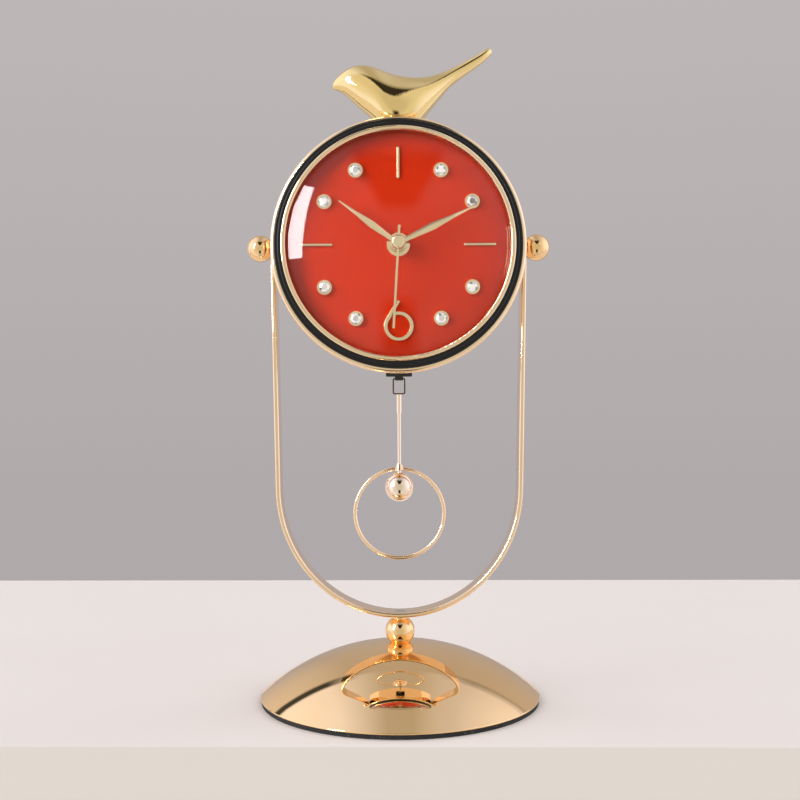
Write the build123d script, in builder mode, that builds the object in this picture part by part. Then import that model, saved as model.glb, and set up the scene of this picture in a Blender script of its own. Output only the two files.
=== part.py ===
from build123d import *
import os
from math import acos, atan2, cos, degrees, hypot, pi, radians, sin, sqrt, tan

# Desk pendulum clock: a domed foot, a strap bent to a U, a round head that tilts
# between the ends of the strap, and a ring pendulum that hangs under the head.
# Millimetres, +Z up, the dial faces -Y. The origin is the middle of the foot's underside.

# Turns in degrees
quarter_turn = 90.0
half_turn = 2 * quarter_turn
full_turn = 2 * half_turn

# Fits
running_gap = 0.05
fit_gap = 0.05
cut_reach = 30.0

# Foot
base_radius = 75.0
pad_thickness = 2.2
pad_inset = 0.5
dome_rise = 28.2
dome_wall = 1.2
lip_radius = 0.5
seat_radius = 5.4
weight_thickness = 10.0
weight_gap = 2.75
weight_cone_radius = 20.0
nut_pocket_radius = 11.0
nut_pocket_depth = 6.0
washer_radius = 9.0
washer_thickness = 1.5
nut_sides = 6
nut_across_flats = 10.0
nut_height = 4.0
stud_radius = 3.0

# Stem and strap
stem_height = 14.1
stem_ball_radius = 8.0
stem_ball_rise = 6.2
stem_neck_radius = 4.4
strap_width = 15.0
strap_thickness = 2.6
strap_edge_round = 1.0
leg_flare = 2.3
bend_depth = 70.0
leg_rise = 128.9
ear_drop = 9.0

# Head pivots
pivot_radius = 2.0
pivot_washer_radius = 6.0
pivot_washer_thickness = 0.6
bush_radius = 5.0
bush_proud = 1.35
bush_flange_radius = 7.5
bush_flange_thickness = 1.5
bush_length = 8.0
knob_radius = 7.2
knob_flat = 5.9
knob_clearance = 0.1

# Case, with depths measured forward from the pivot axis towards the dial
case_radius = 64.0
case_wall = 1.0
case_back = -18.0
rim_front = 15.0
rim_bead_radius = 1.9
rim_overhang = 4.1
rim_web = 2.0
dial_seat_width = 3.0
dial_seat_thickness = 1.0
cover_seat_width = 6.0
cover_seat_thickness = 1.0

# Bezels and crystal
black_overhang = 1.7
black_step_width = 1.95
black_step_front = 18.3
black_front = 19.7
black_round = 0.7
black_sleeve_wall = 1.1
black_sleeve_length = 1.2
gold_front = 21.0
gold_lip_thickness = 1.8
gold_wall = 0.85
gold_width = 2.6
gold_round = 0.8
crystal_thickness = 1.8
crystal_apex = 33.0
crystal_lip_gap = 0.2
gasket_width = 1.0

# Dial and its markers, with insets measured in from the gold ring
dial_hours = 12
dial_front = 13.5
dial_thickness = 0.8
dial_edge_gap = 0.2
marker_height = 1.2
baton_length = 17.0
baton_width = 1.5
baton_inset = 16.0
baton_hours = (12, 3, 9)
stone_hours = (1, 2, 4, 5, 7, 8, 10, 11)
stone_inset = 14.2
setting_radius = 3.9
setting_height = 1.8
setting_floor = 0.6
stone_radius = 2.9
stone_table_radius = 1.7
stone_girdle = 1.4
stone_crown = 0.8
stone_sides = 8
six_inset = 16.2
six_outer_radius = 7.8
six_wire = 1.9
six_stem_rise = 13.5
dial_washer_radius = 6.1
dial_washer_thickness = 0.5
dial_nut_across_flats = 9.6
dial_nut_height = 2.0

# Hands, at ten past ten: clockwise angles from twelve, heights above the dial, insets from the gold ring
hour_angle = 306.0
minute_angle = 64.4
second_angle = 183.4
hand_thickness = 0.6
hour_inset = 20.7
hour_width = 3.7
hour_hub_radius = 4.2
hour_height = 4.2
minute_inset = 14.5
minute_width = 3.9
minute_hub_radius = 3.6
minute_height = 6.9
hand_root_width = 1.6
hand_tip_width = 0.5
hand_belly_share = 0.45
second_inset = 14.5
second_width = 1.2
second_tail = 8.3
second_tail_width = 1.6
second_height = 9.1
second_cap_radius = 3.4
second_cap_height = 1.6
second_cap_round = 0.9

# Shafts and the gears that tie the hour hand to the minute hand
second_arbor_radius = 0.7
minute_pipe_radius = 1.9
hour_tube_radius = 2.9
centre_bush_radius = 4.0
centre_bush_height = 3.7
centre_bush_flange_radius = 6.0
centre_bush_flange = 1.0
tube_lead = 0.7
wheel_spacing = 12.0
pinion_teeth = 12
minute_wheel_teeth = 36
minute_pinion_teeth = 10
hour_wheel_teeth = 40
tooth_addendum = 0.75
tooth_dedendum = 1.1
tooth_side_gap = 0.09
tooth_flank_angle = 20.0
wheel_thickness = 1.0
wheel_gap = 0.4
wheel_step = 1.0
pinion_overlap = 0.3
pipe_tail = 1.4
arbor_radius = 1.0
set_knob_radius = 6.0
set_knob_height = 5.0
set_knob_gap = 0.7
set_knob_ribs = 18
set_knob_rib_radius = 0.5

# Movement housing
movement_top = 28.0
movement_back_depth = -7.3
back_half_depth = 8.0
movement_wall = 1.4
movement_corner = 3.0
tongue_half_width = 16.0
tongue_clearance = 6.0
pin_below_body = 11.0
battery_radius = 7.1
battery_length = 50.5
battery_end_room = 2.75
battery_rise = 13.0
battery_nub_radius = 2.6
battery_nub_length = 1.2
battery_gap = 0.3
contact_thickness = 0.4
contact_size = 9.0
tray_rib = 0.9
board_width = 13.0
board_height = 20.0
board_thickness = 1.0
board_wall_gap = 1.1
board_rise = 8.0
can_radius = 1.5
can_length = 6.0
motor_coil_gap = 2.5
motor_top = 9.0
motor_battery_gap = 3.9
motor_thickness = 9.0
motor_coil_radius = 2.6
motor_coil_length = 13.0
motor_coil_wall_gap = 2.1
motor_coil_rise = 4.0

# Back cover
cover_thickness = 2.0
cover_gap = 0.2
window_margin = 2.0
window_corner = 5.0
cover_screw_count = 3
cover_screw_inset = 3.5
cover_screw_radius = 1.2
cover_screw_head_radius = 2.2
cover_screw_head_height = 1.2

# Pendulum, with drops measured down from the case's underside where it hangs below it
pin_above_case = 16.0
hanger_width = 4.4
hanger_front = 3.4
hanger_back = -3.0
hanger_top_rise = 7.5
hanger_boss_radius = 4.0
magnet_radius = 3.0
magnet_thickness = 2.4
coil_outer_radius = 3.6
coil_inner_radius = 1.6
coil_flange = 0.4
coil_gap = 0.6
liner_width = 14.0
liner_depth = 10.4
liner_wall = 1.1
liner_flange = 2.0
liner_flange_thickness = 1.2
loop_width = 7.0
loop_height = 9.0
loop_depth = 4.0
loop_strip = 0.8
loop_corner = 1.2
loop_drop = 6.2
swing_room = 0.75
hook_lip = 0.6
hook_lip_wall = 0.9
hook_mouth = 1.1
hook_side_gap = 0.1
ferrule_radius = 1.35
ferrule_length = 10.0
ferrule_cap = 1.0
rod_radius = 1.0
ring_diameter = 50.3
ring_wire_radius = 1.1
ring_top_drop = 54.3
collar_top_radius = 1.5
collar_bottom_radius = 2.6
collar_rise = 1.6
collar_skirt = 1.7
ball_radius = 7.95
ball_drop = 2.9
ball_neck_radius = 1.2

# Bird: place along X, top and bottom above the top of the case, and width
bird_sections = (
    (-35.2, 25.4, 23.1, 2.4),
    (-34.4, 27.1, 22.3, 5.6),
    (-32.3, 29.4, 21.6, 9.4),
    (-27.5, 33.1, 18.4, 15.4),
    (-21.2, 35.1, 12.7, 20.5),
    (-13.0, 34.0, 5.4, 25.5),
    (-4.2, 30.6, -2.5, 28.0),
    (6.0, 28.6, -1.6, 26.0),
    (14.4, 28.5, 6.6, 20.5),
    (22.9, 30.7, 17.1, 14.0),
    (28.5, 33.0, 23.4, 10.8),
    (34.0, 35.9, 27.9, 8.6),
    (40.0, 39.2, 32.1, 7.4),
    (45.6, 42.4, 36.1, 6.4),
    (49.2, 44.2, 39.4, 4.9),
    (50.9, 43.5, 41.5, 2.0),
)
bird_setback = 1.0
bird_screw_place = -1.0
bird_screw_radius = 1.5
bird_screw_depth = 7.0
bird_screw_head_radius = 3.0
bird_screw_head_height = 2.0

# Heights worked out from the foot upwards
dome_top = pad_thickness + dome_rise
lip_centre = base_radius - lip_radius
lip_centre_z = pad_thickness + lip_radius
lip_fall = dome_top - lip_centre_z
dome_radius = (lip_centre**2 + lip_fall**2 - lip_radius**2) / (2 * (lip_fall - lip_radius))
dome_centre_z = dome_top - dome_radius
seat_z = dome_centre_z + sqrt(dome_radius**2 - seat_radius**2)
frame_bottom = seat_z + stem_height
frame_half_width = case_radius + bush_proud + pivot_washer_thickness + running_gap + strap_thickness
frame_arc_radius = frame_half_width - leg_flare
frame_arc_z = frame_bottom + bend_depth
pivot_z = frame_arc_z + leg_rise
ear_bottom = pivot_z - ear_drop
ear_top = pivot_z + strap_width / 2

# Head radii and depths, and the turn from one hour to the next
hour_step = full_turn / dial_hours
case_inner = case_radius - case_wall
rim_bead_centre = case_radius + rim_overhang - rim_bead_radius
gold_outer = case_inner - black_sleeve_wall - 2 * fit_gap
gold_inner = gold_outer - gold_width
baton_radius = gold_inner - baton_inset
stone_circle_radius = gold_inner - stone_inset
six_centre_drop = gold_inner - six_inset
hour_length = gold_inner - hour_inset
minute_length = gold_inner - minute_inset
second_length = gold_inner - second_inset
gold_lip_back = gold_front - gold_lip_thickness
crystal_rim = gold_outer - gold_wall - fit_gap
crystal_back = gold_lip_back - crystal_thickness
black_inner = gold_outer + fit_gap
black_outer = case_radius + black_overhang
dial_back = dial_front - dial_thickness
dial_seat_back = dial_back - dial_seat_thickness
cover_back = case_back
cover_front = case_back + cover_thickness
cover_seat_front = cover_front + cover_seat_thickness
hour_depth = dial_front + hour_height
minute_depth = dial_front + minute_height
second_depth = dial_front + second_height
movement_front_depth = dial_back
movement_depth = movement_front_depth - movement_back_depth
movement_split_depth = movement_back_depth + back_half_depth
front_half_depth = movement_depth - back_half_depth
housing_inner_front = movement_front_depth - movement_wall
housing_inner_back = movement_back_depth + movement_wall
case_bottom_z = pivot_z - case_radius
pin_drop = case_radius - pin_above_case
pin_z = pivot_z - pin_drop
tongue_bottom = case_inner - tongue_clearance
movement_bottom = pin_drop - pin_below_body
movement_half_width = battery_length / 2 + battery_end_room
tray_half = movement_half_width - movement_wall
board_side = tray_half - board_wall_gap - board_width / 2
motor_coil_end = tray_half - motor_coil_wall_gap
motor_half_width = motor_coil_end - motor_coil_length - motor_coil_gap
battery_drop = movement_bottom - battery_rise
motor_bottom = battery_drop - battery_radius - motor_battery_gap
cover_screw_circle = case_inner - cover_screw_inset
case_top_z = pivot_z + case_radius

head_axis = Axis((0, 0, pivot_z), (0, 1, 0))
head_section = Plane(origin=(0, 0, pivot_z), x_dir=(1, 0, 0), z_dir=(0, 0, -1))


def facing(depth, angle=0.0):
    """Plane square to the head's axis, its Y along a clock angle and its Z to the front."""
    turn = radians(angle)
    return Plane(origin=(0, -depth, pivot_z), x_dir=(cos(turn), 0, -sin(turn)), z_dir=(0, -1, 0))


def section_block(inner, outer, low, high):
    """Rectangle in the open sketch, between two radii and two levels."""
    with Locations(((inner + outer) / 2, (low + high) / 2)):
        Rectangle(outer - inner, high - low)


def on_circle(centre, radius, angle):
    return (centre[0] + radius * cos(angle), centre[1] + radius * sin(angle))


def keep(piece, label):
    piece.part.label = label
    export_step(piece.part, f"parts/{label}.step")


os.makedirs("parts", exist_ok=True)

# Foam pad under the foot
with BuildPart() as base_pad:
    with BuildSketch():
        Circle(base_radius - pad_inset)
    extrude(amount=pad_thickness)
keep(base_pad, "base_pad")


def dome_level(radius, inset):
    """Height of the dome's skin, or of a surface a wall's thickness inside it."""
    return dome_centre_z + sqrt((dome_radius - inset)**2 - radius**2)


# Spun dome with a rolled lip and a small flat where the stem stands
rim_inner = lip_centre - dome_wall
under_seat_z = seat_z - dome_wall
under_seat_radius = sqrt((dome_radius - dome_wall)**2 - (under_seat_z - dome_centre_z)**2)
stud_hole = stud_radius + fit_gap
lip_angle = atan2(lip_centre_z - dome_centre_z, lip_centre)
lip_point = on_circle((0, dome_centre_z), dome_radius, lip_angle)
lip_middle = on_circle((lip_centre, lip_centre_z), lip_radius, (lip_angle - pi / 2) / 2)
crown_middle = (lip_centre / 2, dome_level(lip_centre / 2, 0))
hollow_middle = (rim_inner / 2, dome_level(rim_inner / 2, dome_wall))
with BuildPart() as base_dome:
    with BuildSketch(Plane.XZ):
        with BuildLine():
            Line((stud_hole, seat_z), (seat_radius, seat_z))
            ThreePointArc((seat_radius, seat_z), crown_middle, lip_point)
            ThreePointArc(lip_point, lip_middle, (lip_centre, pad_thickness))
            Polyline(
                (lip_centre, pad_thickness),
                (rim_inner, pad_thickness),
                (rim_inner, dome_level(rim_inner, dome_wall)),
            )
            ThreePointArc(
                (rim_inner, dome_level(rim_inner, dome_wall)),
                hollow_middle,
                (under_seat_radius, under_seat_z),
            )
            Polyline((under_seat_radius, under_seat_z), (stud_hole, under_seat_z), (stud_hole, seat_z))
        make_face()
    revolve(axis=Axis.Z)
keep(base_dome, "base_dome")

# Iron ballast, drawn up against the dome by the stud
weight_top_z = pad_thickness + weight_thickness
weight_reach_z = weight_top_z + weight_gap - dome_centre_z
weight_radius = sqrt((dome_radius - dome_wall)**2 - weight_reach_z**2)
pocket_top_z = pad_thickness + nut_pocket_depth
with BuildPart() as base_weight:
    with BuildSketch(Plane.XZ):
        with BuildLine():
            Polyline(
                (stud_hole, under_seat_z),
                (seat_radius, under_seat_z),
                (weight_cone_radius, weight_top_z),
                (weight_radius, weight_top_z),
                (weight_radius, pad_thickness),
                (nut_pocket_radius, pad_thickness),
                (nut_pocket_radius, pocket_top_z),
                (stud_hole, pocket_top_z),
                close=True,
            )
        make_face()
    revolve(axis=Axis.Z)
keep(base_weight, "base_weight")

# Washer, nut and tie stud that hold foot, stem and strap together
washer_bottom_z = pocket_top_z - washer_thickness
nut_bottom_z = washer_bottom_z - nut_height
with BuildPart() as base_washer:
    with BuildSketch(Plane.XY.offset(washer_bottom_z)):
        Circle(washer_radius)
        Circle(stud_hole, mode=Mode.SUBTRACT)
    extrude(amount=washer_thickness)
keep(base_washer, "base_washer")

with BuildPart() as base_nut:
    with BuildSketch(Plane.XY.offset(nut_bottom_z)):
        RegularPolygon(nut_across_flats / 2, nut_sides, major_radius=False)
        Circle(stud_hole, mode=Mode.SUBTRACT)
    extrude(amount=nut_height)
keep(base_nut, "base_nut")

frame_floor_z = frame_bottom + strap_thickness
with BuildPart() as stem_stud:
    with BuildSketch(Plane.XY.offset(nut_bottom_z)):
        Circle(stud_radius)
    extrude(amount=frame_floor_z - nut_bottom_z)
keep(stem_stud, "stem_stud")

# Ball on a short neck, between dome and strap
with BuildPart() as stem_ball:
    with Locations((0, 0, seat_z + stem_ball_rise)):
        Sphere(stem_ball_radius)
    split(bisect_by=Plane.XY.offset(seat_z), keep=Keep.TOP)
    split(bisect_by=Plane.XY.offset(frame_bottom), keep=Keep.BOTTOM)
    with BuildSketch(Plane.XY.offset(seat_z)):
        Circle(stem_neck_radius)
    extrude(amount=stem_height)
    with BuildSketch(Plane.XY.offset(seat_z)):
        Circle(stud_hole)
    extrude(amount=stem_height, mode=Mode.SUBTRACT)
keep(stem_ball, "stem_ball")


def strap_line(inset):
    """One face of the U in the open line: ear, leg, round bottom, leg, ear."""
    half = frame_half_width - inset
    across = frame_arc_radius - inset
    depth = bend_depth - inset
    rise = (ear_bottom - frame_arc_z) * across / depth
    angle = atan2(rise, half) - acos(across / hypot(half, rise))
    right = (across * cos(angle), frame_arc_z + depth * sin(angle))
    left = (-right[0], right[1])
    turn = degrees(angle)
    Polyline((-half, ear_top), (-half, ear_bottom), left)
    EllipticalCenterArc((0, frame_arc_z), across, depth, half_turn - turn, arc_size=half_turn + 2 * turn)
    Polyline(right, (half, ear_bottom), (half, ear_top))


# Strap bent to a U, with rounded ears that carry the head
with BuildPart() as u_frame:
    with BuildSketch(Plane.XZ):
        with BuildLine():
            strap_line(0)
            strap_line(strap_thickness)
            for side in (-1, 1):
                inner_half = frame_half_width - strap_thickness
                Line((side * frame_half_width, ear_top), (side * inner_half, ear_top))
        make_face()
    extrude(amount=strap_width / 2, both=True)
    rims = u_frame.faces().filter_by(Axis.Y).edges()
    long_edges = [edge for edge in rims if edge.center().Z < ear_top - strap_edge_round]
    fillet(long_edges, radius=strap_edge_round)
    with BuildSketch(Plane.YZ):
        with Locations((0, pivot_z + strap_width / 2)):
            Rectangle(2 * strap_width, strap_width)
        with Locations((0, pivot_z)):
            Circle(strap_width / 2, mode=Mode.SUBTRACT)
    extrude(amount=frame_half_width + cut_reach, both=True, mode=Mode.SUBTRACT)
    with BuildSketch(Plane.YZ):
        with Locations((0, pivot_z)):
            Circle(pivot_radius + running_gap)
    extrude(amount=frame_half_width + cut_reach, both=True, mode=Mode.SUBTRACT)
    with BuildSketch(Plane.XY.offset(frame_bottom)):
        Circle(stud_hole)
    extrude(amount=cut_reach, mode=Mode.SUBTRACT)
keep(u_frame, "u_frame")

# Bushes through the case wall, and the washers between them and the ears
ear_inner = frame_half_width - strap_thickness
washer_outer_x = ear_inner - running_gap
washer_inner_x = washer_outer_x - pivot_washer_thickness
bush_inner_x = washer_inner_x - bush_length
flange_outer_x = sqrt(case_inner**2 - bush_flange_radius**2) - fit_gap
flange_inner_x = flange_outer_x - bush_flange_thickness
with BuildPart() as pivot_bushes:
    with BuildSketch(Plane.YZ.offset(bush_inner_x)):
        with Locations((0, pivot_z)):
            Circle(bush_radius)
    extrude(amount=bush_length)
    with BuildSketch(Plane.YZ.offset(flange_inner_x)):
        with Locations((0, pivot_z)):
            Circle(bush_flange_radius)
    extrude(amount=bush_flange_thickness)
    with BuildSketch(Plane.YZ.offset(bush_inner_x)):
        with Locations((0, pivot_z)):
            Circle(pivot_radius + running_gap)
    extrude(amount=bush_length, mode=Mode.SUBTRACT)
    mirror(about=Plane.YZ)
keep(pivot_bushes, "pivot_bushes")

with BuildPart() as pivot_washers:
    with BuildSketch(Plane.YZ.offset(washer_inner_x)):
        with Locations((0, pivot_z)):
            Circle(pivot_washer_radius)
            Circle(pivot_radius + running_gap, mode=Mode.SUBTRACT)
    extrude(amount=pivot_washer_thickness)
    mirror(about=Plane.YZ)
keep(pivot_washers, "pivot_washers")

# Ball knobs, each with its screw through the ear into the bush
knob_flat_x = frame_half_width + knob_clearance
for side, knob_name in ((-1, "knob_left"), (1, "knob_right")):
    with BuildPart() as knob:
        with Locations((side * (knob_flat_x + knob_flat), 0, pivot_z)):
            Sphere(knob_radius)
        split(bisect_by=Plane.YZ.offset(side * knob_flat_x), keep=Keep.TOP if side > 0 else Keep.BOTTOM)
        with BuildSketch(Plane.YZ.offset(side * knob_flat_x)):
            with Locations((0, pivot_z)):
                Circle(pivot_radius)
        extrude(amount=side * (bush_inner_x - knob_flat_x))
    keep(knob, knob_name)

# Case shell with its rolled rim
liner_hole_width = liner_width + 2 * fit_gap
liner_hole_depth = liner_depth + 2 * fit_gap
with BuildPart() as case_shell:
    with BuildSketch(head_section):
        section_block(case_inner, case_radius, case_back, rim_front)
        section_block(case_inner, rim_bead_centre, rim_front - rim_web, rim_front)
        with Locations((rim_bead_centre, rim_front - rim_bead_radius)):
            Circle(rim_bead_radius)
    revolve(axis=head_axis)
    with BuildSketch(Plane.YZ):
        with Locations((0, pivot_z)):
            Circle(bush_radius + fit_gap)
    extrude(amount=case_radius + cut_reach, both=True, mode=Mode.SUBTRACT)
    with BuildSketch(Plane.XY.offset(case_bottom_z)):
        Rectangle(liner_hole_width, liner_hole_depth)
    extrude(amount=cut_reach, mode=Mode.SUBTRACT)
    with BuildSketch(Plane.XY.offset(pivot_z)):
        with Locations((bird_screw_place, bird_setback)):
            Circle(bird_screw_radius + fit_gap)
    extrude(amount=case_radius + cut_reach, mode=Mode.SUBTRACT)
keep(case_shell, "case_shell")

# Rings soldered into the case: the seat of the dial, and the seat of the back cover
seat_outer = case_inner - fit_gap
with BuildPart() as case_seats:
    with BuildSketch(head_section):
        section_block(case_inner - dial_seat_width, seat_outer, dial_seat_back, dial_back)
        section_block(case_inner - cover_seat_width, seat_outer, cover_front, cover_seat_front)
    revolve(axis=head_axis)
    with BuildSketch(facing(cover_front)):
        with PolarLocations(cover_screw_circle, cover_screw_count, start_angle=quarter_turn):
            Circle(cover_screw_radius + fit_gap)
    extrude(amount=cover_seat_thickness, mode=Mode.SUBTRACT)
keep(case_seats, "case_seats")

# Black bezel: two rounded steps in front of the rim, and a sleeve inside the case
with BuildPart() as bezel_black:
    with BuildSketch(head_section) as black_profile:
        section_block(black_inner, black_outer, rim_front, black_step_front)
        section_block(black_inner, black_inner + black_step_width, rim_front, black_front)
        crests = black_profile.vertices().filter_by(lambda corner: corner.Y > rim_front + black_round)
        ridges = [corner for corner in crests if corner.X > black_inner + black_round]
        front_ridges = [ridge for ridge in ridges if ridge.Y > black_step_front + fit_gap]
        side_ridges = [ridge for ridge in ridges if ridge.X > black_outer - fit_gap]
        fillet(front_ridges + side_ridges, radius=black_round)
        sleeve_back = rim_front - black_sleeve_length
        section_block(black_inner, black_inner + black_sleeve_wall, sleeve_back, rim_front + black_round)
    revolve(axis=head_axis)
keep(bezel_black, "bezel_black")

# Gold bezel that clamps the crystal and the dial
with BuildPart() as bezel_gold:
    with BuildSketch(head_section) as gold_profile:
        section_block(gold_inner, gold_outer, gold_lip_back, gold_front)
        fillet(gold_profile.vertices().group_by(Axis.Y)[-1], radius=gold_round)
        section_block(gold_outer - gold_wall, gold_outer, dial_front, gold_lip_back)
    revolve(axis=head_axis)
keep(bezel_gold, "bezel_gold")

# Domed crystal with a flat rim under the gold lip
crystal_edge = gold_inner - crystal_lip_gap
crystal_sag = crystal_apex - gold_lip_back
crystal_outer_radius = (crystal_edge**2 + crystal_sag**2) / (2 * crystal_sag)
crystal_inner_radius = crystal_outer_radius - crystal_thickness
crystal_centre = crystal_apex - crystal_outer_radius
crystal_hollow_edge = sqrt(crystal_inner_radius**2 - (crystal_back - crystal_centre)**2)


def crystal_level(radius, sphere_radius):
    return crystal_centre + sqrt(sphere_radius**2 - radius**2)


with BuildPart() as crystal:
    with BuildSketch(head_section):
        with BuildLine():
            half_edge = crystal_edge / 2
            ThreePointArc(
                (0, crystal_apex),
                (half_edge, crystal_level(half_edge, crystal_outer_radius)),
                (crystal_edge, gold_lip_back),
            )
            Polyline(
                (crystal_edge, gold_lip_back),
                (crystal_rim, gold_lip_back),
                (crystal_rim, crystal_back),
                (crystal_hollow_edge, crystal_back),
            )
            ThreePointArc(
                (crystal_hollow_edge, crystal_back),
                (half_edge, crystal_level(half_edge, crystal_inner_radius)),
                (0, crystal_apex - crystal_thickness),
            )
            Line((0, crystal_apex - crystal_thickness), (0, crystal_apex))
        make_face()
    revolve(axis=head_axis)
keep(crystal, "crystal")

with BuildPart() as crystal_gasket:
    with BuildSketch(head_section):
        section_block(crystal_rim - gasket_width, crystal_rim, dial_front, crystal_back)
    revolve(axis=head_axis)
keep(crystal_gasket, "crystal_gasket")

# Dial plate
centre_hole = centre_bush_radius + fit_gap
with BuildPart() as dial:
    with BuildSketch(facing(dial_back)):
        Circle(case_inner - dial_edge_gap)
        Circle(centre_hole, mode=Mode.SUBTRACT)
    extrude(amount=dial_thickness)
keep(dial, "dial")


def hour_place(hour, radius):
    """Place of a marker on the dial, to the right and up from its centre."""
    turn = radians(hour_step * hour)
    return (radius * sin(turn), radius * cos(turn))


# Bars at twelve, three and nine
with BuildPart() as baton_markers:
    for hour in baton_hours:
        with BuildSketch(facing(dial_front, hour_step * hour)):
            with Locations((0, baton_radius)):
                SlotOverall(baton_length, baton_width, rotation=quarter_turn)
        extrude(amount=marker_height)
keep(baton_markers, "baton_markers")

# Figure six: a round loop and a straight stem that leaves it on a tangent
six_wire_radius = six_outer_radius - six_wire / 2
stem_turn = pi / 2 + acos(six_wire_radius / six_stem_rise)
with BuildPart() as numeral_six:
    with BuildSketch(facing(dial_front)):
        with Locations((0, -six_centre_drop)):
            Circle(six_outer_radius)
        stem_foot = on_circle((0, -six_centre_drop), six_wire_radius, stem_turn)
        with BuildLine():
            Line(stem_foot, (0, six_stem_rise - six_centre_drop))
        trace(line_width=six_wire)
        with Locations((0, -six_centre_drop)):
            Circle(six_outer_radius - six_wire, mode=Mode.SUBTRACT)
    extrude(amount=marker_height)
keep(numeral_six, "numeral_six")

# Cups for the stones, and the stones
stone_places = [hour_place(hour, stone_circle_radius) for hour in stone_hours]
with BuildPart() as stone_settings:
    with BuildSketch(facing(dial_front)):
        with Locations(*stone_places):
            Circle(setting_radius)
    extrude(amount=setting_height)
    with BuildSketch(facing(dial_front + setting_floor)):
        with Locations(*stone_places):
            Circle(stone_radius + fit_gap)
    extrude(amount=setting_height, mode=Mode.SUBTRACT)
keep(stone_settings, "stone_settings")

stone_taper = degrees(atan2(stone_radius - stone_table_radius, stone_crown))
with BuildPart() as stones:
    with BuildSketch(facing(dial_front + setting_floor)):
        with Locations(*stone_places):
            RegularPolygon(stone_radius, stone_sides)
    extrude(amount=stone_girdle)
    with BuildSketch(facing(dial_front + setting_floor + stone_girdle)):
        with Locations(*stone_places):
            RegularPolygon(stone_radius, stone_sides)
    extrude(amount=stone_crown, taper=stone_taper)
keep(stones, "stones")

# Washer and nut that hold the movement to the dial
with BuildPart() as dial_washer:
    with BuildSketch(facing(dial_front)):
        Circle(dial_washer_radius)
        Circle(centre_hole, mode=Mode.SUBTRACT)
    extrude(amount=dial_washer_thickness)
keep(dial_washer, "dial_washer")

with BuildPart() as dial_nut:
    with BuildSketch(facing(dial_front + dial_washer_thickness)):
        RegularPolygon(dial_nut_across_flats / 2, nut_sides, major_radius=False)
        Circle(centre_hole, mode=Mode.SUBTRACT)
    extrude(amount=dial_nut_height)
keep(dial_nut, "dial_nut")


def housing_outline(inset):
    """Front view of the movement in the open sketch, with the tongue for the pendulum."""
    body_half = movement_half_width - inset
    tongue_half = tongue_half_width - inset
    section_block(-body_half, body_half, inset - movement_bottom, movement_top - inset)
    section_block(-tongue_half, tongue_half, inset - tongue_bottom, 0)


hanger_slot_width = liner_width - 2 * liner_wall
hanger_slot_depth = liner_depth - 2 * liner_wall


def housing_holes():
    """Holes that both halves of the housing share: the pendulum's pin and slot."""
    with BuildSketch(facing(movement_back_depth)) as pin_hole:
        with Locations((0, -pin_drop)):
            Circle(arbor_radius + running_gap)
    extrude(pin_hole.sketch, amount=movement_depth, mode=Mode.SUBTRACT)
    with BuildSketch(Plane.XY.offset(pivot_z - tongue_bottom)) as slot:
        Rectangle(hanger_slot_width, hanger_slot_depth)
    extrude(slot.sketch, amount=movement_wall, mode=Mode.SUBTRACT)


# Front half of the movement's housing, with the bearing of the minute wheel
with BuildPart() as movement_front:
    with BuildSketch(facing(movement_split_depth)):
        housing_outline(0)
    extrude(amount=front_half_depth)
    fillet(movement_front.edges().filter_by(Axis.Y), radius=movement_corner)
    with BuildSketch(facing(movement_split_depth)):
        housing_outline(movement_wall)
    extrude(amount=front_half_depth - movement_wall, mode=Mode.SUBTRACT)
    with BuildSketch(facing(movement_split_depth)):
        Circle(centre_hole)
    extrude(amount=front_half_depth, mode=Mode.SUBTRACT)
    with BuildSketch(facing(movement_split_depth)):
        with Locations((0, wheel_spacing)):
            Circle(arbor_radius + running_gap)
    extrude(amount=front_half_depth - movement_wall / 2, mode=Mode.SUBTRACT)
    housing_holes()
keep(movement_front, "movement_front")

# Back half, open behind the battery, with a rib above and below it
tray_top = battery_radius + battery_gap - battery_drop
tray_bottom = -battery_radius - battery_gap - battery_drop
with BuildPart() as movement_back:
    with BuildSketch(facing(movement_back_depth)):
        housing_outline(0)
    extrude(amount=back_half_depth)
    fillet(movement_back.edges().filter_by(Axis.Y), radius=movement_corner)
    with BuildSketch(facing(housing_inner_back)):
        housing_outline(movement_wall)
    extrude(amount=back_half_depth - movement_wall, mode=Mode.SUBTRACT)
    with BuildSketch(facing(movement_back_depth)):
        section_block(-tray_half, tray_half, tray_top, tray_top + tray_rib)
        section_block(-tray_half, tray_half, tray_bottom - tray_rib, tray_bottom)
    extrude(amount=back_half_depth)
    with BuildSketch(facing(movement_back_depth)):
        section_block(-tray_half, tray_half, tray_bottom, tray_top)
        with Locations((0, wheel_spacing)):
            Circle(arbor_radius + running_gap)
    extrude(amount=movement_wall, mode=Mode.SUBTRACT)
    housing_holes()
keep(movement_back, "movement_back")

# Threaded bush that carries the hands through the dial
hour_bore = minute_pipe_radius + running_gap
centre_bush_back = housing_inner_front - centre_bush_flange
centre_bush_front = dial_front + centre_bush_height
with BuildPart() as centre_bush:
    with BuildSketch(facing(centre_bush_back)):
        Circle(centre_bush_radius)
    extrude(amount=centre_bush_front - centre_bush_back)
    with BuildSketch(facing(centre_bush_back)):
        Circle(centre_bush_flange_radius)
    extrude(amount=centre_bush_flange)
    with BuildSketch(facing(centre_bush_back)):
        Circle(hour_tube_radius + running_gap)
    extrude(amount=centre_bush_front - centre_bush_back, mode=Mode.SUBTRACT)
keep(centre_bush, "centre_bush")


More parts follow.
